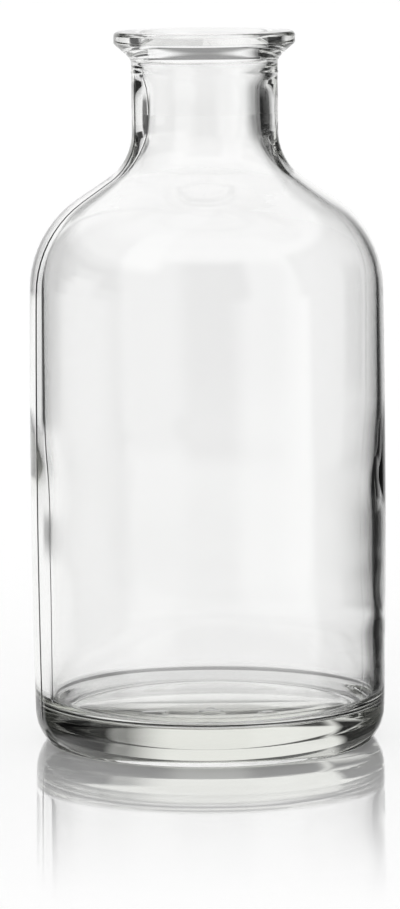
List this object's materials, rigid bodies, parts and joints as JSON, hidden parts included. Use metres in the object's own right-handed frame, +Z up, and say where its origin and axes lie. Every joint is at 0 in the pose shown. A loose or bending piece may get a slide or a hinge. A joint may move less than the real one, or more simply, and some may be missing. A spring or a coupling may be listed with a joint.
{
  "type": "pharmacy bottle",
  "caption": "Clear glass pharmacy bottle: round body, sloping shoulder, straight neck and a flared flat lip for a stopper; thick domed base.",
  "frame": {"origin": "middle of the base, on the surface that the bottle stands on", "axes": "+Z up along the outside's axis, towards the mouth; +X to the right in the picture, where the wall is thinner; -Y faces the picture's camera"},
  "size_m": [0.081, 0.081, 0.1615],
  "materials": {
    "clear_glass": "blown and fire-polished, clear, faint grey-green in thick glass"
  },
  "bodies": {
    "root": {"bottle": "clear_glass"}
  },
  "joints": []
}
